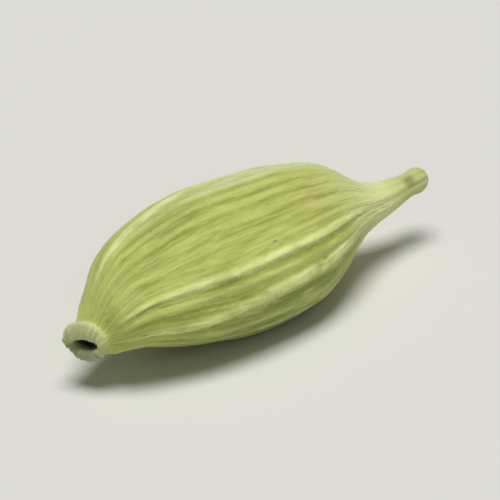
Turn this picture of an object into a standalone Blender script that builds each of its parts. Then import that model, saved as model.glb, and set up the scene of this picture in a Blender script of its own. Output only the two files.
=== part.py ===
"""A green cardamom pod: one dried, three-sided capsule that lies on its side.

The pod's long axis runs along X. The open stub of its stalk is at -X and its beak at +X. It rests
at z = 0 on a small flat spot, and the origin is under the middle of its bounding box. Distances
along the pod are measured from the stub's lip, and angles round it from the front (-Y), upwards.
"""

import math

import bmesh
import bpy
from mathutils import Vector, geometry

MM = 0.001

# Driving sizes: the whole length, and the mean radius at the thickest place
POD_LENGTH = 21.2 * MM
POD_RADIUS = 3.65 * MM

# The husk's outline from the root of the stub to the beak: shares of the length and of the radius
HUSK_OUTLINE = (
    (0.030, 0.268),
    (0.046, 0.290),
    (0.066, 0.355),
    (0.105, 0.500),
    (0.165, 0.675),
    (0.300, 0.915),
    (0.430, 1.000),
    (0.590, 0.915),
    (0.690, 0.725),
    (0.762, 0.510),
    (0.808, 0.370),
    (0.850, 0.275),
    (0.905, 0.200),
    (0.945, 0.158),
    (0.974, 0.170),
)
STEPS_IN_SPAN = (1, 1, 2, 2, 4, 5, 4, 4, 3, 3, 2, 2, 2, 1)

# The hollow stub of the stalk: a short tube with a rounded lip. Its socket narrows from a share of
# its depth down to a share of its radius
STUB_RADIUS = 1.10 * MM
SOCKET_RADIUS = 0.60 * MM
SOCKET_DEPTH = 1.25 * MM
SOCKET_STRAIGHT_SHARE = 0.85
SOCKET_FLOOR_SHARE = 0.7
LIP_POINTS = 5

# The stub broke off on a slant, and its edge is uneven: the front is further back than the rest
CUT_SLOPE = 0.45
CUT_ANGLE = math.radians(4)
CUT_BACK = 0.55 * MM
CUT_REACH = 2.4 * MM
LIP_UNEVEN = 0.05 * MM
LIP_PHASE = 0.6

# The stub is squeezed a little flat. Its mouth is squeezed to a slit, and lies below the middle
STUB_SQUEEZE = 0.03
MOUTH_SQUEEZE = 0.56
MOUTH_ANGLE = math.radians(8)
SQUEEZE_WIDENS = 0.25
MOUTH_DROP = 0.16 * MM
SQUEEZE_REACH = 2.4 * MM

# The knob at the end of the beak, with a rounded rim and a dimple where the flower dropped off
KNOB_RIM = 0.30 * MM
RIM_SETBACK = 0.15 * MM
DIMPLE_DEPTH = 0.12 * MM

# Cross-section: three rounded corners, each with a seam, on a slightly oval round
CORNERS = 3
CORNER_SHARE = 0.062
SEAM_ANGLE = math.radians(-5)
OVAL_SHARE = 0.082
OVAL_ANGLE = math.radians(135)
ROUND_BELOW = 0.9 * MM
SHAPED_ABOVE = 2.8 * MM

# Relief of the husk: ribs that run from end to end, lower on the broad upper valve, one of them
# bold, and at each seam a keel with a furrow on either side. The beak and the stub have low flutes
RIBS = 27
POINTS_IN_RIB = 4
RIB_HEIGHT = 0.11 * MM
RIB_SHARPNESS = 1.5
RIB_EVENNESS = 0.66
RIB_PHASE = 0.9
RIB_CROWDING = 0.2
CROWDING_PHASE = 2.3
CROWD_TRIES = 16
VALVE_ANGLE = math.radians(75)
VALVE_SPREAD = math.radians(42)
VALVE_SOFTNESS = 0.6
KEEL_HEIGHT = 0.13 * MM
KEEL_SPREAD = math.radians(4.5)
FURROW_DEPTH = 0.07 * MM
FURROW_SPREAD = math.radians(13)
BOLD_RIB_HEIGHT = 0.09 * MM
BOLD_RIB_TURN = math.radians(27)
BOLD_RIB_SPREAD = math.radians(4.5)
WAVER_TURN = math.radians(1.3)
WAVER_LENGTH = 2.1 * MM
FLUTES = 9
FLUTE_HEIGHT = 0.025 * MM

# Slow unevenness of the dried husk: small swellings over the seeds, and a few broad lumps, each given
# by its height, where its middle is along and round the pod, and how far it spreads along and round
SWELLING = 0.06 * MM
SWELLING_LENGTH = 1.05 * MM
SWELLING_PHASE = -0.6
LUMPS = (
    (-0.36 * MM, 10.8 * MM, math.radians(106), 3.0 * MM, math.radians(40)),
    (0.90 * MM, 17.1 * MM, math.radians(112), 1.6 * MM, math.radians(45)),
    (-0.34 * MM, 3.0 * MM, math.radians(290), 1.9 * MM, math.radians(42)),
    (-0.20 * MM, 7.0 * MM, math.radians(312), 2.5 * MM, math.radians(32)),
    (0.24 * MM, 12.9 * MM, math.radians(305), 2.7 * MM, math.radians(34)),
)

# The axis: the stub droops, the body sags a little, and the beak sets out low and turns up again
STUB_DROOP = 1.10 * MM
DROOP_END = 3.7 * MM
BODY_SAG = 0.25 * MM
SAG_END = 10.5 * MM
BEAK_DROP = 0.35 * MM
BEAK_ROOT = 15.5 * MM
BEAK_START = 18.5 * MM
BEAK_RISE = 0.20 * MM
BEAK_SWING = -0.30 * MM
SWING_START = 13.0 * MM

# The flat spot that it rests on: ribs are pressed flat round it, and this much is off the belly
FLAT_DEPTH = 0.12 * MM
DOWN = math.radians(270)
REST_STATION = 9.3 * MM
PRESSED_LENGTH = 3.4 * MM
PRESSED_SPREAD = math.radians(24)

HUSK_GREEN = (0.40, 0.47, 0.12, 1.0)
HUSK_ROUGHNESS = 0.72


def clear_scene():
    for thing in list(bpy.data.objects):
        bpy.data.objects.remove(thing)


def ease(low, high, value):
    """0 below low, 1 above high, and smooth between."""
    share = min(1.0, max(0.0, (value - low) / (high - low)))
    return share * share * (3 - 2 * share)


def bell(offset, spread):
    """1 at no offset, falling away smoothly over the spread."""
    return math.exp(-((offset / spread) ** 2))


def angle_between(angle, other):
    """The signed turn from other to angle, at most half a circle."""
    return math.remainder(angle - other, math.tau)


def smooth_line(points, steps):
    """A curve through the points, in (along, radius), with that many steps in each span."""
    knots = [Vector((along, radius, 0)) for along, radius in points]
    last = len(knots) - 1
    lean = [(knots[min(i + 1, last)] - knots[max(i - 1, 0)]) / 6 for i in range(last + 1)]
    line = [knots[0]]
    for i, count in enumerate(steps):
        handles = (knots[i], knots[i] + lean[i], knots[i + 1] - lean[i + 1], knots[i + 1])
        line += geometry.interpolate_bezier(*handles, count + 1)[1:]
    return [(point.x, point.y) for point in line]


def arc(along, radius, size, start, end, count):
    """Points of an arc in (along, radius): 0 degrees points along the pod and 90 outwards."""
    turns = [math.radians(start + (end - start) * i / (count - 1)) for i in range(count)]
    return [(along + size * math.cos(t), radius + size * math.sin(t)) for t in turns]


def half_outline():
    """From the bottom of the socket, over the lip and along the husk, to the rim of the knob."""
    lip = (STUB_RADIUS - SOCKET_RADIUS) / 2
    husk = [(POD_LENGTH * along, POD_RADIUS * radius) for along, radius in HUSK_OUTLINE]
    return [
        (SOCKET_DEPTH, SOCKET_FLOOR_SHARE * SOCKET_RADIUS),
        (SOCKET_STRAIGHT_SHARE * SOCKET_DEPTH, SOCKET_RADIUS),
        *arc(lip, SOCKET_RADIUS + lip, lip, 270, 90, LIP_POINTS),
        *smooth_line(husk, STEPS_IN_SPAN),
        (POD_LENGTH - RIM_SETBACK, husk[-1][1] - RIM_SETBACK),
        (POD_LENGTH, KNOB_RIM),
    ]


def axis_height(along):
    droop = STUB_DROOP * (1 - ease(0, DROOP_END, along))
    sag = BODY_SAG * ease(DROOP_END, SAG_END, along) + BEAK_DROP * ease(BEAK_ROOT, BEAK_START, along)
    return BEAK_RISE * ease(BEAK_START, POD_LENGTH, along) - droop - sag


def axis_swing(along):
    return BEAK_SWING * ease(SWING_START, POD_LENGTH, along)


def section(angle, radius):
    """How far the cross-section stands out at this angle, against a circle."""
    corner = CORNER_SHARE * math.cos(CORNERS * (angle - SEAM_ANGLE))
    oval = OVAL_SHARE * math.cos(2 * (angle - OVAL_ANGLE))
    return 1 + ease(ROUND_BELOW, SHAPED_ABOVE, radius) * (corner + oval)


def rib_crowd(turn):
    """How many ribs more than an even spacing lie between the first seam and this turn."""
    waves = math.sin(2 * turn + CROWDING_PHASE) + 0.6 * math.sin(5 * turn - CROWDING_PHASE)
    return RIB_CROWDING * waves


def rib_turn(count):
    """The turn at which that many ribs have gone by."""
    turn = math.tau * count / RIBS
    for _ in range(CROWD_TRIES):
        turn = math.tau * (count - rib_crowd(turn)) / RIBS
    return turn


def rib_strength(turn, along):
    """Ribs differ from each other, and each grows and fades along the pod."""
    change = math.sin(7 * turn + RIB_PHASE) * math.cos(4 * turn - along / WAVER_LENGTH)
    on_valve = bell(angle_between(turn + SEAM_ANGLE, VALVE_ANGLE), VALVE_SPREAD)
    return (RIB_EVENNESS + (1 - RIB_EVENNESS) * change) * (1 - VALVE_SOFTNESS * on_valve)


def relief(angle, along, radius):
    """Ribs, seams and unevenness, as a height above the plain husk."""
    shown = ease(ROUND_BELOW, SHAPED_ABOVE, radius)
    turn = angle - SEAM_ANGLE
    waver = WAVER_TURN * math.sin(3 * turn + along / WAVER_LENGTH)
    wave = RIBS * (turn + waver) + math.tau * rib_crowd(turn)
    crest = ((1 + math.cos(wave)) / 2) ** RIB_SHARPNESS
    from_seam = math.remainder(turn, math.tau / CORNERS)
    keel = KEEL_HEIGHT * bell(from_seam, KEEL_SPREAD) - FURROW_DEPTH * bell(from_seam, FURROW_SPREAD)
    keel += BOLD_RIB_HEIGHT * bell(angle_between(turn, BOLD_RIB_TURN), BOLD_RIB_SPREAD)
    pressed = bell(angle_between(angle, DOWN), PRESSED_SPREAD) * bell(along - REST_STATION, PRESSED_LENGTH)
    lines = (RIB_HEIGHT * rib_strength(turn, along) * crest + keel) * (1 - pressed)
    flutes = FLUTE_HEIGHT * (1 - shown) * math.cos(FLUTES * turn) * ease(SOCKET_DEPTH, DROOP_END, along)
    swelling = math.sin(2 * turn + along / SWELLING_LENGTH) * math.sin(4 * turn + SWELLING_PHASE)
    uneven = SWELLING * swelling * (1 - pressed)
    for height, station, middle, length, spread in LUMPS:
        uneven += height * bell(angle_between(angle, middle), spread) * bell(along - station, length)
    return shown * (lines + uneven) + flutes


def cut_shift(angle, along, radius):
    """How far the slanted, uneven break moves the stub's edge along the pod."""
    slant = CUT_BACK + CUT_SLOPE * radius * math.cos(angle - CUT_ANGLE)
    wave = LIP_UNEVEN * (math.sin(2 * angle + LIP_PHASE) + math.sin(5 * angle) / 2)
    return (slant + wave) * (1 - ease(0, CUT_REACH, along))


def mouth_squeeze(along, radius):
    """The share that the stub loses in height there, and how far it lies below its middle."""
    inward = min(1.0, max(0.0, (STUB_RADIUS - radius) / (STUB_RADIUS - SOCKET_RADIUS)))
    near = 1 - ease(0, SQUEEZE_REACH, along)
    return near * (STUB_SQUEEZE + (MOUTH_SQUEEZE - STUB_SQUEEZE) * inward), near * MOUTH_DROP * inward


def skin_point(along, radius, angle):
    out = radius * section(angle, radius) + relief(angle, along, radius)
    squeeze, drop = mouth_squeeze(along, radius)
    wide = out * math.cos(angle - MOUTH_ANGLE) * (1 + SQUEEZE_WIDENS * squeeze)
    high = out * math.sin(angle - MOUTH_ANGLE) * (1 - squeeze) - drop
    return Vector(
        (
            along + cut_shift(angle, along, radius),
            axis_swing(along) - wide * math.cos(MOUTH_ANGLE) + high * math.sin(MOUTH_ANGLE),
            axis_height(along) + wide * math.sin(MOUTH_ANGLE) + high * math.cos(MOUTH_ANGLE),
        )
    )


def add_rings(mesh):
    """The closed skin: a ring of points for each step of the outline, and a point at each end."""
    around = RIBS * POINTS_IN_RIB
    angles = [SEAM_ANGLE + rib_turn(i / POINTS_IN_RIB) for i in range(around)]
    rings = [
        [mesh.verts.new(skin_point(along, radius, angle)) for angle in angles]
        for along, radius in half_outline()
    ]
    for ring, following in zip(rings, rings[1:]):
        for i in range(around):
            j = (i + 1) % around
            mesh.faces.new((ring[i], ring[j], following[j], following[i]))
    dimple = POD_LENGTH - DIMPLE_DEPTH
    for ring, along, flip in ((rings[0], SOCKET_DEPTH, True), (rings[-1], dimple, False)):
        middle = mesh.verts.new((along, axis_swing(along), axis_height(along)))
        for i in range(around):
            face = (ring[i], ring[(i + 1) % around], middle)
            mesh.faces.new(face[::-1] if flip else face)


def cut_flat_spot(mesh):
    """Takes the lowest sliver off the belly and closes the cut with one flat face."""
    floor = min(vert.co.z for vert in mesh.verts) + FLAT_DEPTH
    everything = mesh.verts[:] + mesh.edges[:] + mesh.faces[:]
    cut = bmesh.ops.bisect_plane(
        mesh,
        geom=everything,
        plane_co=(0, 0, floor),
        plane_no=(0, 0, 1),
        clear_inner=True,
    )
    rim = [item for item in cut["geom_cut"] if isinstance(item, bmesh.types.BMEdge)]
    bmesh.ops.contextual_create(mesh, geom=rim)


def centre_over_origin(mesh):
    low = Vector(min(vert.co[axis] for vert in mesh.verts) for axis in range(3))
    high = Vector(max(vert.co[axis] for vert in mesh.verts) for axis in range(3))
    foot = Vector(((low.x + high.x) / 2, (low.y + high.y) / 2, low.z))
    bmesh.ops.translate(mesh, verts=mesh.verts, vec=-foot)


def husk_material():
    made = bpy.data.materials.new("dried_green_husk")
    made.use_nodes = True
    shader = made.node_tree.nodes["Principled BSDF"]
    shader.inputs["Base Color"].default_value = HUSK_GREEN
    shader.inputs["Roughness"].default_value = HUSK_ROUGHNESS
    shader.inputs["Metallic"].default_value = 0.0
    return made


def make_pod():
    mesh = bmesh.new()
    add_rings(mesh)
    bmesh.ops.recalc_face_normals(mesh, faces=mesh.faces)
    cut_flat_spot(mesh)
    centre_over_origin(mesh)
    bmesh.ops.recalc_face_normals(mesh, faces=mesh.faces)
    data = bpy.data.meshes.new("pod")
    mesh.to_mesh(data)
    mesh.free()
    data.shade_smooth()
    data.materials.append(husk_material())
    pod = bpy.data.objects.new("pod", data)
    bpy.context.scene.collection.objects.link(pod)
    return pod


clear_scene()
make_pod()
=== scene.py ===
# %% [markdown]
# # A green cardamom pod
#
# This notebook dresses one dried cardamom pod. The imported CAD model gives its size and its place: a
# ribbed, three-cornered spindle, 21 mm long, that lies on a small flat spot. A coarse solid is right
# for weight and contact, but the eye wants more: rounded ribs, fine fibres, a torn stub and a dry,
# papery green. So the whole husk is made again here on the same rule, with nearly twenty times as
# many triangles, and then coloured.

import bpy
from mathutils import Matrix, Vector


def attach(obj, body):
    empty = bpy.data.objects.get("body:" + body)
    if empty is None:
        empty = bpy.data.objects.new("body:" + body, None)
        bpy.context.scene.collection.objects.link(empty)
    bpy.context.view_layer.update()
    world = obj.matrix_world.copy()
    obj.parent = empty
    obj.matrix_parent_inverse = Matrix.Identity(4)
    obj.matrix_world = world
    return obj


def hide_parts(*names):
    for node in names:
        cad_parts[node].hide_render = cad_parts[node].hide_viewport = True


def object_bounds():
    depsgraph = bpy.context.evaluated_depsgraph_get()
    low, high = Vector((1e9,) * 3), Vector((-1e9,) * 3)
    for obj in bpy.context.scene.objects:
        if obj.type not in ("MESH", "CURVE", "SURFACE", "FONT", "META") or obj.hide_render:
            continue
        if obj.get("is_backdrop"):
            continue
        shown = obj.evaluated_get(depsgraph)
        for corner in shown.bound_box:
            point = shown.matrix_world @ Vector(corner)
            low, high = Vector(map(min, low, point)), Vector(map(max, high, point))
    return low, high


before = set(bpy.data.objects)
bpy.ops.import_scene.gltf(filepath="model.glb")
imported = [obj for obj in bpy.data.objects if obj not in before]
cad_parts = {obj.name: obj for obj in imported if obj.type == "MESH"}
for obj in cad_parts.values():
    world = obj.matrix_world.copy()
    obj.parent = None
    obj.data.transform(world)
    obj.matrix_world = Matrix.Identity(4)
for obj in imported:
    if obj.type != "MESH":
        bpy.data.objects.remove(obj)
cad_low, cad_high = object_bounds()
print("the CAD model measures", [round(1000 * side, 2) for side in cad_high - cad_low], "mm")

# %% [markdown]
# ## Tools for building node trees
#
# Both the husk's shape and its colours are made by nodes. One function adds a node: it sets the
# node's own settings, then fills its inputs by place or by name, with a value, a socket or another
# node. A second one starts a tree of Geometry Nodes whose sizes are named inputs, a third ends it,
# and a fourth hangs it on an object.

# %% Add a node; start, end and hang a tree
import math

import bpy
from mathutils import Euler, Vector, geometry

MM = 0.001
MATH = "ShaderNodeMath"
VECTOR_MATH = "ShaderNodeVectorMath"
MAP = "ShaderNodeMapRange"
NOISE = "ShaderNodeTexNoise"
MAPPING = "ShaderNodeMapping"
ROTATE = "ShaderNodeVectorRotate"
SOCKET_KINDS = {
    type(None): "NodeSocketGeometry",
    float: "NodeSocketFloat",
    int: "NodeSocketInt",
    bpy.types.Material: "NodeSocketMaterial",
}


def put(tree, kind, feeds=(), **settings):
    """Adds a node and fills its inputs. A node that feeds another gives its first output."""
    node = tree.nodes.new(kind)
    for name, value in settings.items():
        setattr(node, name, value)
    sockets = [socket for socket in node.inputs if socket.enabled]
    for key, feed in feeds.items() if isinstance(feeds, dict) else enumerate(feeds):
        socket = sockets[key] if isinstance(key, int) else next(s for s in sockets if s.name == key)
        if isinstance(feed, bpy.types.Node):
            feed = next(output for output in feed.outputs if output.enabled)
        if isinstance(feed, bpy.types.NodeSocket):
            tree.links.new(feed, socket)
        else:
            socket.default_value = feed
    return node


def start_tree(name, sizes):
    """A tree with one named input for each size, and the sockets that those inputs come in by."""
    tree = bpy.data.node_groups.new(name, "GeometryNodeTree")
    for label, value in sizes.items():
        tree.interface.new_socket(label, in_out="INPUT", socket_type=SOCKET_KINDS[type(value)])
    return tree, put(tree, "NodeGroupInput").outputs


def end_tree(tree, made, material):
    """Ends a tree with plain geometry in the given material."""
    tree.interface.new_socket("Geometry", in_out="OUTPUT", socket_type="NodeSocketGeometry")
    real = put(tree, "GeometryNodeRealizeInstances", (made,))
    real = put(tree, "GeometryNodeSetMaterial", {"Geometry": real, "Material": material})
    put(tree, "NodeGroupOutput", (real,))


def hang_tree(piece, tree, sizes):
    """Adds the tree to the piece as a modifier and sets its inputs, found by their identifiers."""
    step = piece.modifiers.new(tree.name, "NODES")
    step.node_group = tree
    for item in tree.interface.items_tree:
        if item.in_out == "INPUT" and sizes.get(item.name) is not None:
            step[item.identifier] = sizes[item.name]


# %% [markdown]
# ## The husk's outline and its axis
#
# The real husk is the wall of a fruit: it swells from the stalk, and ends in a thin beak where the
# flower sat. Seen from the side it's a smooth curve, so it's given by a few points, each a share of
# the length and of the thickest radius, with a curve drawn through them. The line goes on past the
# husk at both ends: over the thick lip of the stub and down into its socket, and round the knob into
# its dimple. The axis isn't straight: the stub droops and the beak sets out low.

# %% Measure out the outline
POD_LENGTH = 21.2 * MM
POD_RADIUS = 3.65 * MM
HUSK_OUTLINE = (
    (0.030, 0.268),
    (0.046, 0.290),
    (0.066, 0.355),
    (0.105, 0.500),
    (0.165, 0.675),
    (0.300, 0.915),
    (0.430, 1.000),
    (0.590, 0.915),
    (0.690, 0.725),
    (0.762, 0.510),
    (0.808, 0.370),
    (0.850, 0.275),
    (0.905, 0.200),
    (0.945, 0.158),
    (0.974, 0.170),
)
STUB_RADIUS = 1.10 * MM
SOCKET_RADIUS = 0.60 * MM
SOCKET_DEPTH = 1.25 * MM
SOCKET_WALL = 0.8 * SOCKET_DEPTH
KNOB_RIM = 0.30 * MM
RIM_SETBACK = 0.15 * MM
DIMPLE_DEPTH = 0.12 * MM
ROW_STEP = 0.12 * MM


def smooth_line(knots, step):
    """A curve through the knots, with a point about every step."""
    last = len(knots) - 1
    lean = [(knots[min(i + 1, last)] - knots[max(i - 1, 0)]) / 6 for i in range(last + 1)]
    line = [knots[0]]
    for i in range(last):
        count = max(3, round((knots[i + 1] - knots[i]).length / step))
        handles = (knots[i], knots[i] + lean[i], knots[i + 1] - lean[i + 1], knots[i + 1])
        line += geometry.interpolate_bezier(*handles, count + 1)[1:]
    return line


lip = (STUB_RADIUS - SOCKET_RADIUS) / 2
socket_line = [
    (SOCKET_DEPTH, 0),
    (SOCKET_DEPTH, 0.4 * SOCKET_RADIUS),
    (0.95 * SOCKET_DEPTH, 0.75 * SOCKET_RADIUS),
    (SOCKET_WALL, SOCKET_RADIUS),
    (lip, SOCKET_RADIUS),
    (0, SOCKET_RADIUS + lip),
    (lip, STUB_RADIUS),
]
husk_line = [(POD_LENGTH * along, POD_RADIUS * radius) for along, radius in HUSK_OUTLINE]
knob_line = [
    (POD_LENGTH - RIM_SETBACK, husk_line[-1][1] - RIM_SETBACK),
    (POD_LENGTH, KNOB_RIM),
    (POD_LENGTH - 0.5 * DIMPLE_DEPTH, 0.5 * KNOB_RIM),
    (POD_LENGTH - DIMPLE_DEPTH, 0),
]
knots = [Vector((along, radius, 0)) for along, radius in socket_line + husk_line + knob_line]
outline = smooth_line(knots, ROW_STEP)
print("the outline has", len(outline), "points")

# %% Bend the axis and keep the radius at each of its points
STUB_DROOP = 1.10 * MM
DROOP_END = 3.7 * MM
BODY_SAG = 0.25 * MM
SAG_END = 10.5 * MM
BEAK_DROP = 0.35 * MM
BEAK_ROOT = 15.5 * MM
BEAK_START = 18.5 * MM
BEAK_RISE = 0.20 * MM
BEAK_SWING = -0.30 * MM
SWING_START = 13.0 * MM


def ease(low, high, value):
    """0 below low, 1 above high, and smooth between."""
    share = min(1.0, max(0.0, (value - low) / (high - low)))
    return share * share * (3 - 2 * share)


def axis_point(along):
    """Where the axis runs at a distance along the pod."""
    droop = STUB_DROOP * (1 - ease(0, DROOP_END, along))
    sag = BODY_SAG * ease(DROOP_END, SAG_END, along)
    sag += BEAK_DROP * ease(BEAK_ROOT, BEAK_START, along)
    height = BEAK_RISE * ease(BEAK_START, POD_LENGTH, along) - droop - sag
    return Vector((along, BEAK_SWING * ease(SWING_START, POD_LENGTH, along), height))


rail = bpy.data.meshes.new("pod_husk")
steps = [(i, i + 1) for i in range(len(outline) - 1)]
rail.from_pydata([axis_point(point.x) for point in outline], steps, [])
radii = rail.attributes.new("girth", "FLOAT", "POINT")
radii.data.foreach_set("value", [point.y for point in outline])
lip_row = min(range(len(outline)), key=lambda i: outline[i].x)
inside = rail.attributes.new("inside", "FLOAT", "POINT")
inside.data.foreach_set("value", [float(i < lip_row) for i in range(len(outline))])
husk = bpy.data.objects.new("pod_husk", rail)
bpy.context.scene.collection.objects.link(husk)
print("the lip of the stub is row", lip_row)

# %% [markdown]
# ## The husk's finish
#
# The real skin is the sun-dried wall of a green fruit: matt, papery and fibrous. Its green lies in
# soft patches, from sage to yellow-green. The ribs are rubbed and dry first, so their crests are the
# colour of straw, broken into dashes, and the hollows keep a deeper olive. Both ends are pale, and
# the stub's throat and the beak's root are painted paler still, as painted light where they lie in
# shade. The torn lip is cream, like torn paper, with painted shade at its front and low down, and the
# socket is painted near-black, as painted shade in its recess. The lower valve also carries painted
# shade, and the crown a painted highlight. An image could show this, but nodes keep it sharp at any
# distance. Each layer is a colour laid over the last one by a factor, and the patterns read the grain
# that the husk's tree leaves on every point.

# %% Turn a hex colour to linear, and start the material
def linear(code):
    """An sRGB hex colour as the linear numbers that a shader works in."""
    shares = [int(code[i : i + 2], 16) / 255 for i in (0, 2, 4)]
    return (*(c / 12.92 if c <= 0.04045 else ((c + 0.055) / 1.055) ** 2.4 for c in shares), 1.0)


ATTRIBUTE = "ShaderNodeAttribute"
husk_skin = bpy.data.materials.new("sun_dried_cardamom_husk")
husk_skin.use_nodes = True
dye = husk_skin.node_tree
dye.nodes.clear()
grain = put(dye, ATTRIBUTE, attribute_name="grain").outputs["Vector"]
crest = put(dye, ATTRIBUTE, attribute_name="crest").outputs["Fac"]
along = put(dye, ATTRIBUTE, attribute_name="along").outputs["Fac"]
keel = put(dye, ATTRIBUTE, attribute_name="keel").outputs["Fac"]
inside = put(dye, ATTRIBUTE, attribute_name="inside").outputs["Fac"]
# The lower valve's painted shade, kept by the relief's tree
painted_shade_low = put(dye, ATTRIBUTE, attribute_name="painted_shade_low").outputs["Fac"]

# %% Lay out the patterns, each at its real size
# Soft patches of green are 3 to 4 mm across. Fibres are about 0.2 mm apart and run for 3 mm. The
# dashes on the ribs are about 1.6 mm long. The mottling is of strokes, 0.5 mm wide and about 2 mm
# long, and stains and flecks are 1.3 and 0.45 mm across
patches = put(dye, NOISE, {"Vector": grain, "Scale": 1 / (3.4 * MM), "Detail": 2.0})
patches = put(dye, MAP, {"Value": patches, "From Min": 0.38, "From Max": 0.62})
lengthwise = put(dye, MAPPING, {"Vector": grain, "Scale": (0.07, 1, 1)})
looks = {"Scale": 1 / (0.22 * MM), "Detail": 3.0, "Roughness": 0.6}
fibres = put(dye, NOISE, {"Vector": lengthwise, **looks})
fibres = put(dye, MAP, {"Value": fibres, "From Min": 0.45, "From Max": 0.68})
dashes = put(dye, MAPPING, {"Vector": grain, "Scale": (0.35, 1, 1)})
looks = {"Scale": 1 / (0.55 * MM), "Detail": 3.0, "Roughness": 0.65}
dashes = put(dye, NOISE, {"Vector": dashes, **looks})
dashes = put(dye, MAP, {"Value": dashes, "From Min": 0.42, "From Max": 0.60})
strokes = put(dye, MAPPING, {"Vector": grain, "Scale": (0.24, 1, 1), "Location": (0, 0.01, 0)})
looks = {"Scale": 1 / (0.50 * MM), "Detail": 3.0, "Roughness": 0.6}
strokes = put(dye, NOISE, {"Vector": strokes, **looks})
dark_strokes = put(dye, MAP, {"Value": strokes, "From Min": 0.50, "From Max": 0.36, "To Max": 0.62})
pale_strokes = put(dye, MAP, {"Value": strokes, "From Min": 0.52, "From Max": 0.68, "To Max": 0.75})
looks = {"Scale": 1 / (1.3 * MM), "Detail": 5.0, "Roughness": 0.7}
stains = put(dye, NOISE, {"Vector": grain, **looks})
stains = put(dye, MAP, {"Value": stains, "From Min": 0.60, "From Max": 0.72, "To Max": 0.5})
flecks = put(dye, MAPPING, {"Vector": grain, "Scale": (0.5, 1, 1), "Location": (0.02, 0, 0)})
flecks = put(dye, NOISE, {"Vector": flecks, "Scale": 1 / (0.45 * MM), "Detail": 1.0})
flecks = put(dye, MAP, {"Value": flecks, "From Min": 0.74, "From Max": 0.79, "To Max": 0.6})
print("the patterns take", len(dye.nodes), "nodes")

# %% [markdown]
# ## Where each colour lies
#
# The colours follow the form. The crests and the keels are worn pale. Along the crown, which is the
# pod's highest line, a pale band is partly the pale keel of the seam that runs there and partly a
# painted highlight where the light catches the top. The valve below the front seam is painted darker
# as painted shade, where the lower side turns from the light, most of all in the middle of its
# length. A few patches are seen only once, so each has its own middle and reach.
# Painting them would be quicker, but a number is easier to move than a stroke of paint.

# %% Follow the ribs and the keels, and paint a highlight along the crown
# The crown's pale band is partly the pale keel of the seam that runs there and partly a painted
# highlight where the surface faces up and a little back. Its two shares of the radius are the cosines
# of 15 and 4 degrees, so it fades between them
CROWN_TURN = math.radians(20)
CROWN_EDGE = 0.968 * POD_RADIUS
CROWN_CORE = 0.998 * POD_RADIUS
ribs_broken = put(dye, MATH, (dashes, 0.6, 0.4), operation="MULTIPLY_ADD")
ribs = put(dye, MATH, (ribs_broken, crest), operation="MULTIPLY")
ribs = put(dye, MATH, (ribs, 0.7), operation="MULTIPLY")
hollows = put(dye, MAP, {"Value": crest, "From Min": 0.30, "From Max": 0.0, "To Max": 0.3})
keels = put(dye, MAP, {"Value": keel, "From Min": 0.22, "From Max": 0.75})
keels = put(dye, MATH, (keels, ribs_broken), operation="MULTIPLY")
upward = (0, math.sin(CROWN_TURN), math.cos(CROWN_TURN))
painted_top_highlight = put(dye, VECTOR_MATH, (grain, upward), operation="DOT_PRODUCT").outputs["Value"]
limits = {"From Min": CROWN_EDGE, "From Max": CROWN_CORE, "To Max": 0.65}
painted_top_highlight = put(dye, MAP, {"Value": painted_top_highlight, **limits})
highlight_start = put(dye, MAP, {"Value": along, "From Min": 3.0 * MM, "From Max": 8.0 * MM})
for fade in (ribs_broken, highlight_start):
    painted_top_highlight = put(dye, MATH, (painted_top_highlight, fade), operation="MULTIPLY")

# %% Place the patches that are seen once
# Each has its middle and its reach in mm, its colour, and the most of that colour that is laid on
SPOTS = {
    "olive": ((-4.2, -0.3, 6.75), 2.6, "929f3e", 0.75),
    "ripe": ((3.2, -0.9, 5.7), 2.2, "c6bb6b", 0.75),
    "green": ((-3.6, -3.3, 3.7), 1.5, "8a9f26", 0.5),
    "pale_by_stub": ((-8.0, -1.0, 4.7), 1.4, "c2ce72", 0.55),
    "pale_by_ridge": ((-5.4, -2.0, 5.1), 1.6, "c2ce72", 0.4),
    "scar": ((9.32, -0.45, 3.68), 0.42, "7b7f40", 0.7),
}
where = put(dye, "ShaderNodeTexCoord").outputs["Object"]
spots = {}
for name, (middle, reach, tint, most) in SPOTS.items():
    middle = [MM * side for side in middle]
    away = put(dye, VECTOR_MATH, (where, middle), operation="DISTANCE").outputs["Value"]
    limits = {"From Min": reach * MM, "From Max": 0.3 * reach * MM, "To Max": most}
    spots[name] = (put(dye, MAP, {"Value": away, **limits}), tint)
print("seen once:", ", ".join(spots))

# %% Paint shade on the lower valve, and follow the ends
# An end's colour has where it sets in and where it is full, in mm along the pod, and its strength.
# The ends are pale, and the stub's and the beak's are also painted light that lifts the shaded throat
# and the beak's root
MIDDLE = 9.5 * MM
ENDS = {"stub": (3.6, 1.0, 0.7), "beak": (14.6, 17.6, 0.85), "tip": (18.6, 19.8, 0.7)}
# The lower valve's painted shade is strongest in the middle of the pod's length and weaker towards
# both ends
off_middle = put(dye, MATH, (along, MIDDLE), operation="SUBTRACT")
off_middle = put(dye, MATH, (off_middle,), operation="ABSOLUTE")
limits = {"From Min": 6.5 * MM, "From Max": 2.5 * MM, "To Min": 0.25, "To Max": 0.85}
amid = put(dye, MAP, {"Value": off_middle, **limits})
painted_shade_low = put(dye, MATH, (painted_shade_low, amid), operation="MULTIPLY")
streaks = put(dye, MATH, (fibres, 0.55), operation="MULTIPLY")
ends = {}
for name, (start, full, most) in ENDS.items():
    limits = {"From Min": start * MM, "From Max": full * MM, "To Max": most}
    ends[name] = put(dye, MAP, {"Value": along, **limits})
print("the ends:", ", ".join(ends))

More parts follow.
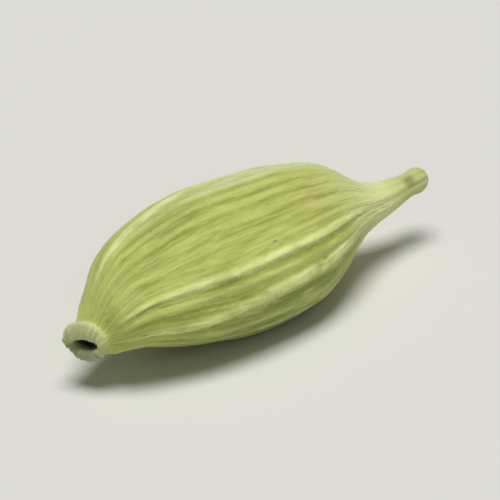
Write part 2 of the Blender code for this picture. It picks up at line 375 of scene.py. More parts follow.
# %% Follow the torn lip and the socket, with painted shade on the lip and in the socket
# The grain lies on a cylinder: its Y is least at the front, and its Z is greatest at the top. The
# cream of the lip is painted weaker right at the front and greyer low down, as painted shade where
# the lip lies in shade
FRAY = 0.45 * MM
frayed = put(dye, MATH, (dashes, FRAY, along), operation="MULTIPLY_ADD")
torn = put(dye, MAP, {"Value": frayed, "From Min": 1.0 * MM, "From Max": 0.3 * MM, "To Max": 0.9})
grain_sides = put(dye, "ShaderNodeSeparateXYZ", (grain,)).outputs
limits = {"From Min": -3.6 * MM, "From Max": -2.4 * MM, "To Min": 0.35}
lip_front_shade = put(dye, MAP, {"Value": grain_sides["Y"], **limits})
torn = put(dye, MATH, (torn, lip_front_shade), operation="MULTIPLY")
frays = put(dye, MATH, (0.9, fibres), operation="SUBTRACT")
frays = put(dye, MATH, (frays, torn), operation="MULTIPLY")
limits = {"From Min": 0.6 * MM, "From Max": -1.2 * MM, "To Max": 0.8}
torn_lip_low_shade = put(dye, MAP, {"Value": grain_sides["Z"], **limits})
torn_lip_low_shade = put(dye, MATH, (torn_lip_low_shade, torn), operation="MULTIPLY")
# The socket's brownish inside is painted near-black, as painted shade in the recess
socket = put(dye, MAP, {"Value": along, "From Min": 0.15 * MM, "From Max": 0.7 * MM})
socket = put(dye, MATH, (socket, inside), operation="MULTIPLY")
print("the dye has", len(dye.nodes), "nodes so far")

# %% Lay the colours over each other
LAYERS = (
    (patches, "b5bf59"),
    spots["olive"],
    spots["ripe"],
    spots["green"],
    spots["pale_by_stub"],
    spots["pale_by_ridge"],
    # painted shade on the lower valve
    (painted_shade_low, "748330"),
    (hollows, "8c9a3c"),
    (dark_strokes, "84903a"),
    (ribs, "cdd480"),
    (pale_strokes, "cbd377"),
    (streaks, "c5cd6e"),
    (keels, "e3ea9a"),
    # painted highlight along the crown, partly the seam's pale keel
    (painted_top_highlight, "dcdeb0"),
    (stains, "a3a24a"),
    # pale ends; the stub's and the beak's are also painted light on the shaded throat and the beak's
    # root
    (ends["stub"], "d0da7a"),
    (ends["beak"], "e6e9a6"),
    (ends["tip"], "b9bd6e"),
    spots["scar"],
    (flecks, "7d7440"),
    # the lip's cream, weakened at the front as painted shade
    (torn, "e2e7b8"),
    (frays, "b4bb7c"),
    # painted shade on the lower lip
    (torn_lip_low_shade, "8f9270"),
    # painted shade in the socket
    (socket, "2c2a16"),
)
colour = linear("a5b448")
for factor, tint in LAYERS:
    layer = {"Factor": factor, "A": colour, "B": linear(tint)}
    colour = put(dye, "ShaderNodeMix", layer, data_type="RGBA")
print(len(LAYERS), "colours lie over the first green")

# %% Give it the gloss and the fine bump of dry skin
# Dried husk scatters light like paper, with a faint sheen from its fibres. Its pores are finer than
# 0.05 mm, and are drawn 0.12 mm across so that they show
pores = put(dye, NOISE, {"Vector": grain, "Scale": 1 / (0.12 * MM), "Detail": 3.0})
bumpy = put(dye, MATH, (fibres, 0.6, pores), operation="MULTIPLY_ADD")
bump = put(dye, "ShaderNodeBump", {"Strength": 0.5, "Distance": 0.03 * MM, "Height": bumpy})
rough = put(dye, MAP, {"Value": pores, "To Min": 0.55, "To Max": 0.85})
looks = {"Base Color": colour, "Roughness": rough, "Normal": bump}
shader = put(dye, "ShaderNodeBsdfPrincipled", looks)
shader.inputs["IOR"].default_value = 1.45
shader.inputs["Sheen Weight"].default_value = 0.25
shader.inputs["Sheen Roughness"].default_value = 0.45
put(dye, "ShaderNodeOutputMaterial", (shader,))
print("the husk's finish has", len(dye.nodes), "nodes")

# %% [markdown]
# ## A helper tree: the bell
#
# Keels, furrows, dents and the pressed patch all stand or sink in one place and fade away round it.
# The bell is that fading, 1 in the middle and 0 far off. It's a small tree of its own, so that the
# trees below can use it as one node.

# %% Build the bell
bell, size = start_tree("bell", {"Offset": 0.0, "Spread": 1.0})
bell.interface.new_socket("Height", in_out="OUTPUT", socket_type="NodeSocketFloat")
ratio = put(bell, MATH, (size["Offset"], size["Spread"]), operation="DIVIDE")
square = put(bell, MATH, (ratio, ratio), operation="MULTIPLY")
fall = put(bell, MATH, (square, -1.0), operation="MULTIPLY")
height = put(bell, MATH, (fall,), operation="EXPONENT")
put(bell, "NodeGroupOutput", (height,))
GROUP = "GeometryNodeGroup"
print("the bell has", len(bell.nodes), "nodes")

# %% [markdown]
# ## Turn the outline round the axis
#
# A cardamom pod has three chambers, so its section is a circle with three blunt corners, a little
# flattened. A modelling tool could loft that, but a rule says it better: each point's distance from
# the axis is the radius, stretched by a wave with three crests and one with two. The tree sweeps a
# ring of points along the axis and then moves every point to where the rule puts it. Near the stub
# and the beak the section is round again.
#
# The stalk broke off on a slant, so the stub's end is sheared by the cosine of the angle round it.
# The lip is torn, so noise pushes its edge in and out, less and less down the socket's wall. The
# mouth has dried to a slit, so the rings of the socket are squeezed flat and let down a little.

# %% Lay out the ring of points along the axis
RIBS = 27
SEAM_ANGLE = math.radians(-5)
ROUND_BELOW = 0.9 * MM
SHAPED_ABOVE = 2.8 * MM
STORE = "GeometryNodeStoreNamedAttribute"
READ = "GeometryNodeInputNamedAttribute"
WELD = 0.0001 * MM
ROUND_X = {"rotation_type": "X_AXIS", "invert": True}

form_sizes = {
    "Geometry": None,
    "Points Around": 16 * RIBS,
    "Seam Angle": SEAM_ANGLE,
    "Grain Radius": POD_RADIUS,
    "Corner Share": 0.062,
    "Oval Share": 0.082,
    "Oval Angle": math.radians(135),
    "Round Below": ROUND_BELOW,
    "Shaped Above": SHAPED_ABOVE,
    "Cut Slope": 0.45,
    "Cut Angle": math.radians(4),
    "Cut Back": 0.55 * MM,
    "Cut Reach": 2.4 * MM,
    "Lip Uneven": 0.05 * MM,
    "Lip Phase": 0.6,
    "Tear Depth": 0.27 * MM,
    "Tear Width": 0.20 * MM,
    "Stub Radius": STUB_RADIUS,
    "Socket Radius": SOCKET_RADIUS,
    "Socket Wall": SOCKET_WALL,
    "Stub Squeeze": 0.03,
    "Mouth Squeeze": 0.56,
    "Mouth Angle": math.radians(8),
    "Squeeze Widens": 0.25,
    "Mouth Drop": 0.16 * MM,
    "Squeeze Reach": 2.4 * MM,
    "Material": husk_skin,
}
form, size = start_tree("turned_husk", form_sizes)
here = put(form, "GeometryNodeInputPosition")
rail_line = put(form, "GeometryNodeMeshToCurve", (size["Geometry"],))
kept = {"Geometry": rail_line, "Name": "axis", "Value": here}
rail_line = put(form, STORE, kept, data_type="FLOAT_VECTOR")
index = put(form, "GeometryNodeInputIndex")
place = put(form, MATH, (index, size["Points Around"]), operation="DIVIDE")
turned = put(form, MATH, (place, math.tau), operation="MULTIPLY")
ring = put(form, "GeometryNodeCurvePrimitiveCircle", {"Resolution": size["Points Around"]})
ring = put(form, STORE, {"Geometry": ring, "Name": "turn", "Value": turned}, data_type="FLOAT")
skin = put(form, "GeometryNodeCurveToMesh", (rail_line, ring))
print("the ring has", form_sizes["Points Around"], "points")

# %% Stretch the ring to the section with three corners
# A whole number that an angle is multiplied by is how many waves go once round the pod
turn = put(form, READ, {"Name": "turn"}, data_type="FLOAT")
axis = put(form, READ, {"Name": "axis"}, data_type="FLOAT_VECTOR")
radius = put(form, READ, {"Name": "girth"}, data_type="FLOAT")
along = put(form, "ShaderNodeSeparateXYZ", (axis,))
angle = put(form, MATH, (turn, size["Seam Angle"]), operation="ADD")
corners = put(form, MATH, (turn, 3.0), operation="MULTIPLY")
corners = put(form, MATH, (corners,), operation="COSINE")
oval = put(form, MATH, (angle, size["Oval Angle"]), operation="SUBTRACT")
oval = put(form, MATH, (oval, 2.0), operation="MULTIPLY")
oval = put(form, MATH, (oval,), operation="COSINE")
oval = put(form, MATH, (oval, size["Oval Share"]), operation="MULTIPLY")
stretch = put(form, MATH, (corners, size["Corner Share"], oval), operation="MULTIPLY_ADD")
limits = {"From Min": size["Round Below"], "From Max": size["Shaped Above"]}
shaped = put(form, MAP, {"Value": radius, **limits}, interpolation_type="SMOOTHSTEP")
stretch = put(form, MATH, (stretch, shaped, 1.0), operation="MULTIPLY_ADD")
reach = put(form, MATH, (stretch, radius), operation="MULTIPLY")

# %% Break the stub off on a slant, with a torn edge
outward = put(form, ROTATE, {"Vector": (0, -1, 0), "Angle": angle}, **ROUND_X)
rolled = {"Vector": outward, "Scale": size["Grain Radius"]}
round_grain = put(form, VECTOR_MATH, rolled, operation="SCALE")
along_grain = put(form, "ShaderNodeCombineXYZ", (along,))
grain = put(form, VECTOR_MATH, (round_grain, along_grain), operation="ADD")
from_cut = put(form, MATH, (angle, size["Cut Angle"]), operation="SUBTRACT")
from_cut = put(form, MATH, (from_cut,), operation="COSINE")
slant = put(form, MATH, (radius, size["Cut Slope"]), operation="MULTIPLY")
slant = put(form, MATH, (slant, from_cut, size["Cut Back"]), operation="MULTIPLY_ADD")
wave = put(form, MATH, (angle, 2.0, size["Lip Phase"]), operation="MULTIPLY_ADD")
wave = put(form, MATH, (wave,), operation="SINE")
ripple = put(form, MATH, (angle, 5.0), operation="MULTIPLY")
ripple = put(form, MATH, (ripple,), operation="SINE")
wave = put(form, MATH, (ripple, 0.5, wave), operation="MULTIPLY_ADD")
uneven = put(form, MATH, (wave, size["Lip Uneven"]), operation="MULTIPLY")
fine = put(form, MATH, (1.0, size["Tear Width"]), operation="DIVIDE")
rolled = {"Vector": outward, "Scale": size["Stub Radius"]}
round_lip = put(form, VECTOR_MATH, rolled, operation="SCALE")
tear = put(form, NOISE, {"Vector": round_lip, "Scale": fine, "Detail": 1.0})
uneven = put(form, MATH, (tear, size["Tear Depth"], uneven), operation="MULTIPLY_ADD")
inside = put(form, READ, {"Name": "inside"}, data_type="FLOAT")
sunk = put(form, MAP, {"Value": along, "From Max": size["Socket Wall"]})
sunk = put(form, MATH, (sunk, inside), operation="MULTIPLY")
torn = put(form, MATH, (1.0, sunk), operation="SUBTRACT")
slant = put(form, MATH, (uneven, torn, slant), operation="MULTIPLY_ADD")
limits = {"From Max": size["Cut Reach"], "To Min": 1.0, "To Max": 0.0}
near_lip = put(form, MAP, {"Value": along, **limits}, interpolation_type="SMOOTHSTEP")
shift = put(form, MATH, (slant, near_lip), operation="MULTIPLY")

# %% Squeeze the stub, and its mouth to a slit
limits = {"From Min": size["Stub Radius"], "From Max": size["Socket Radius"]}
inward = put(form, MAP, {"Value": radius, **limits})
limits |= {"To Min": size["Stub Squeeze"], "To Max": size["Mouth Squeeze"]}
squeeze = put(form, MAP, {"Value": radius, **limits})
limits = {"From Max": size["Squeeze Reach"], "To Min": 1.0, "To Max": 0.0}
near_mouth = put(form, MAP, {"Value": along, **limits}, interpolation_type="SMOOTHSTEP")
squeeze = put(form, MATH, (squeeze, near_mouth), operation="MULTIPLY")
drop = put(form, MATH, (inward, near_mouth), operation="MULTIPLY")
drop = put(form, MATH, (drop, size["Mouth Drop"]), operation="MULTIPLY")
wider = put(form, MATH, (squeeze, size["Squeeze Widens"], 1.0), operation="MULTIPLY_ADD")
lower = put(form, MATH, (1.0, squeeze), operation="SUBTRACT")
level = {"Angle": put(form, MATH, (angle, size["Mouth Angle"]), operation="SUBTRACT")}
step_out = put(form, ROTATE, {"Vector": (0, -1, 0), **level}, **ROUND_X)
step_out = put(form, VECTOR_MATH, {"Vector": step_out, "Scale": reach}, operation="SCALE")
stretch = put(form, "ShaderNodeCombineXYZ", (1.0, wider, lower))
step_out = put(form, VECTOR_MATH, (step_out, stretch), operation="MULTIPLY")
drop = put(form, "ShaderNodeCombineXYZ", (0.0, 0.0, drop))
step_out = put(form, VECTOR_MATH, (step_out, drop), operation="SUBTRACT")
leaned = {"Vector": step_out, "Angle": size["Mouth Angle"]}
step_out = put(form, ROTATE, leaned, **ROUND_X)

# %% Move every point to its place, and keep where the grain runs
step_out = put(form, VECTOR_MATH, (step_out, axis), operation="ADD")
step_along = put(form, "ShaderNodeCombineXYZ", (shift,))
target = put(form, VECTOR_MATH, (step_out, step_along), operation="ADD")
skin = put(form, "GeometryNodeSetPosition", {"Geometry": skin, "Position": target})
skin = put(form, "GeometryNodeMergeByDistance", {"Geometry": skin, "Distance": WELD})
skin = put(form, "GeometryNodeFlipFaces", (skin,))
kept = {"Geometry": skin, "Name": "grain", "Value": grain}
skin = put(form, STORE, kept, data_type="FLOAT_VECTOR")
end_tree(form, skin, size["Material"])
hang_tree(husk, form, form_sizes)
print("the turned husk's tree has", len(form.nodes), "nodes")

# %% [markdown]
# ## Raise the ribs
#
# The wall of the fruit is stiffened by fibres that run from stalk to beak. As it dries it shrinks
# between them, and they stand out as ribs. Modelled one by one they would be 27 thin tubes that
# never quite join the skin, so they're a wave round the pod instead, sharpened so that the crests
# are narrow and the hollows wide. Every rib swells and fades along its length, and wavers a little.
# At the three seams a keel stands between two furrows, and leans by a few degrees from stub to beak.
# One rib above the front seam is nearly as bold as a keel, and the upper valve's ribs are lower.
#
# The pod also dried unevenly. Each broad lump is a bell with a height, a place and a spread: a dent
# in its back, a hump by the beak, a throat and a hollow by the stub, and a fuller belly. Two bells
# weaken the ribs instead: beneath, where it rests, and in a quiet patch by the stub.

# %% List the sizes of the relief
# A lump has its height, its station along the pod, its angle round it, and its spread in both. The
# angle is 0 at the front, 90 degrees at the top and 270 beneath
relief_sizes = {
    "Geometry": None,
    "Seam Angle": SEAM_ANGLE,
    "Round Below": ROUND_BELOW,
    "Shaped Above": SHAPED_ABOVE,
    "Ribs": float(RIBS),
    "Rib Height": 0.11 * MM,
    "Rib Sharpness": 1.5,
    "Rib Evenness": 0.66,
    "Rib Change": 0.34,
    "Rib Phase": 0.9,
    "Rib Crowding": 0.2 * math.tau,
    "Crowding Phase": 2.3,
    "Waver Turn": math.radians(1.3),
    "Waver Length": 2.1 * MM,
    "Valve Angle": math.radians(75),
    "Valve Spread": math.radians(42),
    "Valve Softness": -0.6,
    "Keel Height": 0.13 * MM,
    "Keel Spread": math.radians(4.5),
    "Furrow Depth": 0.07 * MM,
    "Furrow Spread": math.radians(13),
    "Lean Start": 4.0 * MM,
    "Lean End": 10.0 * MM,
    "Lean By Stub": math.radians(-8),
    "Lean By Beak": math.radians(4.5),
    "Bold Rib Height": 0.11 * MM,
    "Bold Rib Turn": math.radians(27),
    "Bold Rib Spread": math.radians(4.5),
    "Flutes": 9.0,
    "Flute Height": 0.025 * MM,
    "Flute Start": SOCKET_DEPTH,
    "Flute Full": DROOP_END,
    "Knob Rim": KNOB_RIM,
    "Swelling": 0.06 * MM,
    "Swelling Length": 1.05 * MM,
    "Swelling Phase": -0.6,
    "Material": husk_skin,
}
LUMPS = {
    "Pressed": (1.0, 9.3 * MM, math.radians(270), 3.4 * MM, math.radians(24)),
    "Quiet": (0.55, 3.4 * MM, math.radians(20), 3.0 * MM, math.radians(38)),
    "Dent": (-0.36 * MM, 10.8 * MM, math.radians(106), 3.0 * MM, math.radians(40)),
    "Hump": (0.90 * MM, 17.1 * MM, math.radians(112), 1.6 * MM, math.radians(45)),
    "Throat": (-0.34 * MM, 3.0 * MM, math.radians(290), 1.9 * MM, math.radians(42)),
    "Hollow": (-0.20 * MM, 7.0 * MM, math.radians(312), 2.5 * MM, math.radians(32)),
    "Belly": (0.24 * MM, 12.9 * MM, math.radians(305), 2.7 * MM, math.radians(34)),
}
LUMP_SIZES = ("Height", "Station", "Angle", "Length", "Spread")
for lump, numbers in LUMPS.items():
    for what, number in zip(LUMP_SIZES, numbers):
        relief_sizes[lump + " " + what] = number
relief, size = start_tree("husk_relief", relief_sizes)
turn = put(relief, READ, {"Name": "turn"}, data_type="FLOAT")
radius = put(relief, READ, {"Name": "girth"}, data_type="FLOAT")
axis = put(relief, READ, {"Name": "axis"}, data_type="FLOAT_VECTOR")
along = put(relief, "ShaderNodeSeparateXYZ", (axis,))
angle = put(relief, MATH, (turn, size["Seam Angle"]), operation="ADD")
limits = {"From Min": size["Round Below"], "From Max": size["Shaped Above"]}
shown = put(relief, MAP, {"Value": radius, **limits}, interpolation_type="SMOOTHSTEP")

# %% Measure how high each lump stands at every point
lumps = {}
for lump in LUMPS:
    off_round = put(relief, MATH, (angle, size[lump + " Angle"]), operation="SUBTRACT")
    off_round = put(relief, MATH, (off_round, math.pi, -math.pi), operation="WRAP")
    off_along = put(relief, MATH, (along, size[lump + " Station"]), operation="SUBTRACT")
    fade_round = put(relief, GROUP, (off_round, size[lump + " Spread"]), node_tree=bell)
    fade_along = put(relief, GROUP, (off_along, size[lump + " Length"]), node_tree=bell)
    lumps[lump] = put(relief, MATH, (fade_round, fade_along), operation="MULTIPLY")
    lumps[lump] = put(relief, MATH, (lumps[lump], size[lump + " Height"]), operation="MULTIPLY")
print("lumps:", ", ".join(lumps))

# %% Make the rib's wave, and let it waver
lag = put(relief, MATH, (along, size["Waver Length"]), operation="DIVIDE")
sway = put(relief, MATH, (turn, 3.0, lag), operation="MULTIPLY_ADD")
sway = put(relief, MATH, (sway,), operation="SINE")
swayed = put(relief, MATH, (sway, size["Waver Turn"], turn), operation="MULTIPLY_ADD")
crowd = put(relief, MATH, (turn, 2.0, size["Crowding Phase"]), operation="MULTIPLY_ADD")
crowd = put(relief, MATH, (crowd,), operation="SINE")
crowd_more = put(relief, MATH, (turn, 5.0), operation="MULTIPLY")
crowd_more = put(relief, MATH, (crowd_more, size["Crowding Phase"]), operation="SUBTRACT")
crowd_more = put(relief, MATH, (crowd_more,), operation="SINE")
crowd = put(relief, MATH, (crowd_more, 0.6, crowd), operation="MULTIPLY_ADD")
crowd = put(relief, MATH, (crowd, size["Rib Crowding"]), operation="MULTIPLY")
wave = put(relief, MATH, (swayed, size["Ribs"], crowd), operation="MULTIPLY_ADD")
wave = put(relief, MATH, (wave,), operation="COSINE")
crest = put(relief, MAP, {"Value": wave, "From Min": -1.0})
crest = put(relief, MATH, (crest, size["Rib Sharpness"]), operation="POWER")

# %% Let the ribs swell and fade, and make them lower on the upper valve and in the quiet patch
across = put(relief, MATH, (turn, 7.0, size["Rib Phase"]), operation="MULTIPLY_ADD")
across = put(relief, MATH, (across,), operation="SINE")
onward = put(relief, MATH, (turn, 4.0), operation="MULTIPLY")
onward = put(relief, MATH, (onward, lag), operation="SUBTRACT")
onward = put(relief, MATH, (onward,), operation="COSINE")
change = put(relief, MATH, (across, onward), operation="MULTIPLY")
evened = (change, size["Rib Change"], size["Rib Evenness"])
strength = put(relief, MATH, evened, operation="MULTIPLY_ADD")
from_valve = put(relief, MATH, (angle, size["Valve Angle"]), operation="SUBTRACT")
from_valve = put(relief, MATH, (from_valve, math.pi, -math.pi), operation="WRAP")
on_valve = put(relief, GROUP, (from_valve, size["Valve Spread"]), node_tree=bell)
softened = put(relief, MATH, (on_valve, size["Valve Softness"], 1.0), operation="MULTIPLY_ADD")
strength = put(relief, MATH, (strength, softened), operation="MULTIPLY")
unquiet = put(relief, MATH, (1.0, lumps.pop("Quiet")), operation="SUBTRACT")
strength = put(relief, MATH, (strength, unquiet), operation="MULTIPLY")
rib = put(relief, MATH, (crest, strength), operation="MULTIPLY")
lines = put(relief, MATH, (rib, size["Rib Height"]), operation="MULTIPLY")

# %% Add the keels, their furrows and the bold rib
limits = {
    "From Min": size["Lean Start"],
    "From Max": size["Lean End"],
    "To Min": size["Lean By Stub"],
    "To Max": size["Lean By Beak"],
}
lean = put(relief, MAP, {"Value": along, **limits}, interpolation_type="SMOOTHSTEP")
from_front = put(relief, MATH, (turn, lean), operation="SUBTRACT")
from_seam = put(relief, MATH, (from_front, math.pi / 3, -math.pi / 3), operation="WRAP")
keel = put(relief, GROUP, (from_seam, size["Keel Spread"]), node_tree=bell)
furrow = put(relief, GROUP, (from_seam, size["Furrow Spread"]), node_tree=bell)
from_bold = put(relief, MATH, (turn, size["Bold Rib Turn"]), operation="SUBTRACT")
from_bold = put(relief, MATH, (from_bold, math.pi, -math.pi), operation="WRAP")
bold = put(relief, GROUP, (from_bold, size["Bold Rib Spread"]), node_tree=bell)
lines = put(relief, MATH, (keel, size["Keel Height"], lines), operation="MULTIPLY_ADD")
lines = put(relief, MATH, (bold, size["Bold Rib Height"], lines), operation="MULTIPLY_ADD")
furrow = put(relief, MATH, (furrow, size["Furrow Depth"]), operation="MULTIPLY")
lines = put(relief, MATH, (lines, furrow), operation="SUBTRACT")

# %% Swell it over the seeds, press its ribs flat where it rests, and add the broad lumps
swell_round = put(relief, MATH, (along, size["Swelling Length"]), operation="DIVIDE")
swell_round = put(relief, MATH, (turn, 2.0, swell_round), operation="MULTIPLY_ADD")
swell_round = put(relief, MATH, (swell_round,), operation="SINE")
swell_across = put(relief, MATH, (turn, 4.0, size["Swelling Phase"]), operation="MULTIPLY_ADD")
swell_across = put(relief, MATH, (swell_across,), operation="SINE")
swelling = put(relief, MATH, (swell_round, swell_across), operation="MULTIPLY")
raised = put(relief, MATH, (swelling, size["Swelling"], lines), operation="MULTIPLY_ADD")
unpressed = put(relief, MATH, (1.0, lumps.pop("Pressed")), operation="SUBTRACT")
raised = put(relief, MATH, (raised, unpressed), operation="MULTIPLY")
for lump in lumps.values():
    raised = put(relief, MATH, (raised, lump), operation="ADD")
raised = put(relief, MATH, (raised, shown), operation="MULTIPLY")

# %% Flute the beak and the stub
flute = put(relief, MATH, (turn, size["Flutes"]), operation="MULTIPLY")
flute = put(relief, MATH, (flute,), operation="COSINE")
flute = put(relief, MATH, (flute, size["Flute Height"]), operation="MULTIPLY")
limits = {"From Min": size["Flute Start"], "From Max": size["Flute Full"]}
past_stub = put(relief, MAP, {"Value": along, **limits}, interpolation_type="SMOOTHSTEP")
limits = {"From Max": size["Knob Rim"]}
off_pole = put(relief, MAP, {"Value": radius, **limits}, interpolation_type="SMOOTHSTEP")
plain = put(relief, MATH, (1.0, shown), operation="SUBTRACT")
for fade in (past_stub, off_pole, plain):
    flute = put(relief, MATH, (flute, fade), operation="MULTIPLY")
raised = put(relief, MATH, (raised, flute), operation="ADD")

# %% Move the skin out by all of it, and keep the lines that the colours follow
# The painted shade on the lower valve begins just below the front seam, and fades out round the next
# seam
SHADE_TOP = (math.radians(-1), math.radians(-12))
SHADE_BACK = (math.radians(-160), math.radians(-110))
outward = put(relief, ROTATE, {"Vector": (0, -1, 0), "Angle": angle}, **ROUND_X)
offset = put(relief, VECTOR_MATH, {"Vector": outward, "Scale": raised}, operation="SCALE")
skin = put(relief, "GeometryNodeSetPosition", {"Geometry": size["Geometry"], "Offset": offset})
crest_shown = put(relief, MATH, (crest, shown), operation="MULTIPLY")
keel_shown = put(relief, MATH, (keel, bold), operation="MAXIMUM")
keel_shown = put(relief, MATH, (keel_shown, shown), operation="MULTIPLY")
from_front = put(relief, MATH, (from_front, math.pi, -math.pi), operation="WRAP")
limits = {"From Min": SHADE_TOP[0], "From Max": SHADE_TOP[1]}
step_down = put(relief, MAP, {"Value": from_front, **limits})
limits = {"From Min": SHADE_BACK[0], "From Max": SHADE_BACK[1]}
step_back = put(relief, MAP, {"Value": from_front, **limits})
painted_shade_low = put(relief, MATH, (step_down, step_back), operation="MULTIPLY")
kept = {"crest": crest_shown, "keel": keel_shown, "along": along, "painted_shade_low": painted_shade_low}
for label, value in kept.items():
    skin = put(relief, STORE, {"Geometry": skin, "Name": label, "Value": value}, data_type="FLOAT")
end_tree(relief, skin, size["Material"])
hang_tree(husk, relief, relief_sizes)
print("the relief's tree has", len(relief.nodes), "nodes and keeps", ", ".join(kept))

# %% [markdown]
# ## Roughen the skin
#
# Between the ribs the dried skin is never smooth: thin fibres run lengthwise, and short wrinkles
# cross the hollows where the skin has shrunk. Both are noise, read on a cylinder that the husk was
# rolled from, so that the pattern narrows towards the ends as the real one does. Noise stretched
# along the pod gives fibres, and noise stretched round it gives wrinkles. Both fade where the pod is
# thin, because the pattern is too narrow there for the faces to follow.

# %% Add fibres and wrinkles
grain_sizes = {
    "Geometry": None,
    "Fibre Width": 0.20 * MM,
    "Fibre Stretch": 0.06,
    "Fibre Depth": 0.022 * MM,
    "Wrinkle Width": 0.45 * MM,
    "Wrinkle Stretch": 2.2,
    "Wrinkle Depth": 0.030 * MM,
    "Fade Below": 0.35 * MM,
    "Full Above": 1.6 * MM,
    "Material": husk_skin,
}
skin_grain, size = start_tree("skin_grain", grain_sizes)
grain = put(skin_grain, READ, {"Name": "grain"}, data_type="FLOAT_VECTOR")
crest = put(skin_grain, READ, {"Name": "crest"}, data_type="FLOAT")
radius = put(skin_grain, READ, {"Name": "girth"}, data_type="FLOAT")
bumps = []
for label in ("Fibre", "Wrinkle"):
    stretch = put(skin_grain, "ShaderNodeCombineXYZ", (size[label + " Stretch"], 1.0, 1.0))
    fine = put(skin_grain, MATH, (1.0, size[label + " Width"]), operation="DIVIDE")
    where = put(skin_grain, VECTOR_MATH, (grain, stretch), operation="MULTIPLY")
    noise = put(skin_grain, NOISE, {"Vector": where, "Scale": fine, "Detail": 2.0})
    bump = put(skin_grain, MAP, {"Value": noise, "From Min": 0.3, "From Max": 0.7, "To Min": -1.0})
    bumps.append(put(skin_grain, MATH, (bump, size[label + " Depth"]), operation="MULTIPLY"))
hollow = put(skin_grain, MATH, (1.0, crest), operation="SUBTRACT")
wrinkle = put(skin_grain, MATH, (bumps[1], hollow), operation="MULTIPLY")
rough = put(skin_grain, MATH, (bumps[0], wrinkle), operation="ADD")
limits = {"From Min": size["Fade Below"], "From Max": size["Full Above"]}
fade = put(skin_grain, MAP, {"Value": radius, **limits}, interpolation_type="SMOOTHSTEP")
rough = put(skin_grain, MATH, (rough, fade), operation="MULTIPLY")
normal = put(skin_grain, "GeometryNodeInputNormal")
offset = put(skin_grain, VECTOR_MATH, {"Vector": normal, "Scale": rough}, operation="SCALE")
skin = put(skin_grain, "GeometryNodeSetPosition", {"Geometry": size["Geometry"], "Offset": offset})
skin = put(skin_grain, "GeometryNodeSetShadeSmooth", {"Geometry": skin})
end_tree(skin_grain, skin, size["Material"])
hang_tree(husk, skin_grain, grain_sizes)
print("the grain's tree has", len(skin_grain.nodes), "nodes")

# %% [markdown]
# ## Make it plain mesh and lay it down
#
# The trees' result becomes an ordinary mesh, and the modifiers go. The mesh is then moved so that
# its middle and its top meet those of the CAD model. What is left below the floor is pressed up to
# it, and that makes the flat spot that the pod rests on.

# %% Take the result and put it in its place
made = bpy.data.meshes.new_from_object(husk.evaluated_get(bpy.context.evaluated_depsgraph_get()))
husk.modifiers.clear()
husk.data = made
points = [vertex.co for vertex in made.vertices]
low = Vector(min(point[side] for point in points) for side in range(3))
high = Vector(max(point[side] for point in points) for side in range(3))
cad_middle = (cad_low + cad_high) / 2
step = cad_middle - (low + high) / 2
step.z = cad_high.z - high.z
for vertex in made.vertices:
    vertex.co += step
    vertex.co.z = max(vertex.co.z, cad_low.z)
made.update()
triangles = sum(len(face.vertices) - 2 for face in made.polygons)
held = sum(face.area * face.center.dot(face.normal) for face in made.polygons) / 3
print("the husk has", triangles, "triangles and holds", round(held / MM**3, 1), "mm3")

# %% Let it ride on the CAD body in place of the plain solid
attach(husk, "root")
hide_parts("pod")

# %% [markdown]
# ## The floor, the light and the camera
#
# The pod is shown on a plain pale floor, as on a sheet of card under a softbox, with a weak fill
# from the front. The photograph looks down on the pod by about 31 degrees, from so far off that the
# view is nearly parallel, so the lens is long. The pod lies aslant there, and a small roll of the
# camera gives it the same slope.

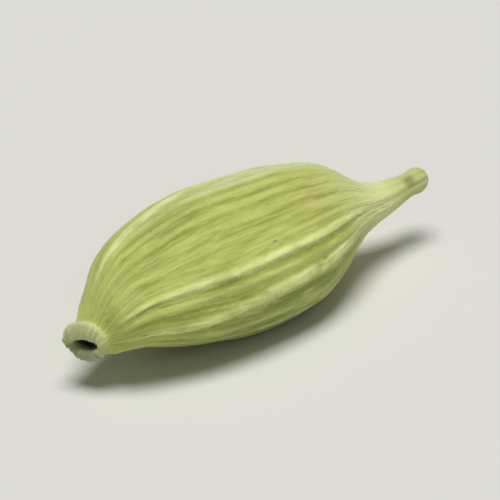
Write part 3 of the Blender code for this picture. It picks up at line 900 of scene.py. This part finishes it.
# %% Lay the floor
# Uncoated white card is quite matt, so it takes a soft shadow and no reflection
floor_card = bpy.data.materials.new("matt_white_card")
floor_card.use_nodes = True
card_shader = floor_card.node_tree.nodes["Principled BSDF"]
card_shader.inputs["Base Color"].default_value = linear("dddcd6")
card_shader.inputs["Roughness"].default_value = 0.9
FLOOR_HALF = 2.0
sides = ((-1, -1), (1, -1), (1, 1), (-1, 1))
card_corners = [(x * FLOOR_HALF, y * FLOOR_HALF, cad_low.z) for x, y in sides]
card = bpy.data.meshes.new("floor")
card.from_pydata(card_corners, [], [(0, 1, 2, 3)])
card.materials.append(floor_card)
floor = bpy.data.objects.new("floor", card)
bpy.context.scene.collection.objects.link(floor)
floor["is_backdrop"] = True
print("the floor is", 2 * FLOOR_HALF, "m wide, and the pod rests on it at z", round(cad_low.z, 6))

# %% Hang the lights
# Each has its place and its width in metres, and its power in watts. They hang well off, so that the
# floor is lit evenly too. The tent's own glow fills the shadows from all round
TENT_STRENGTH = 0.14
LIGHTS = (
    ("overhead_softbox", (0.05, -0.15, 2.10), 1.2, 40.0),
    ("front_fill", (-1.00, -2.20, 1.60), 2.0, 5.0),
)
for name, spot, width, power in LIGHTS:
    lamp = bpy.data.lights.new(name, "AREA")
    lamp.shape = "DISK"
    lamp.size = width
    lamp.energy = power
    light = bpy.data.objects.new(name, lamp)
    light.location = spot
    light.rotation_euler = (Vector(spot) - cad_middle).to_track_quat("Z", "Y").to_euler()
    bpy.context.scene.collection.objects.link(light)
world = bpy.data.worlds.new("light_tent")
world.use_nodes = True
glow = world.node_tree.nodes["Background"].inputs
glow["Color"].default_value = linear("f4f5f2")
glow["Strength"].default_value = TENT_STRENGTH
bpy.context.scene.world = world
bpy.context.scene.view_settings.view_transform = "Standard"
print("lights:", ", ".join(light[0] for light in LIGHTS), "and the tent")

# %% Set up the camera
AZIMUTH = math.radians(-33)
ELEVATION = math.radians(31)
ROLL = math.radians(-6.3)
LENS_MM = 900
DISTANCE = 0.603
camera = bpy.data.objects.new("camera", bpy.data.cameras.new("camera"))
camera.data.lens = LENS_MM
camera.data.clip_start = 0.01
aim = Euler((math.pi / 2 - ELEVATION, 0, AZIMUTH)).to_matrix()
camera.location = cad_middle + DISTANCE * aim.col[2]
camera.rotation_euler = (aim @ Euler((0, 0, ROLL)).to_matrix()).to_euler()
bpy.context.scene.collection.objects.link(camera)
bpy.context.scene.camera = camera
print("the camera is", round(1000 * DISTANCE), "mm from the pod's middle")

# %% Measure the visual model's box
low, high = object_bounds()
print("the visual model measures", [round(1000 * side, 2) for side in high - low], "mm")
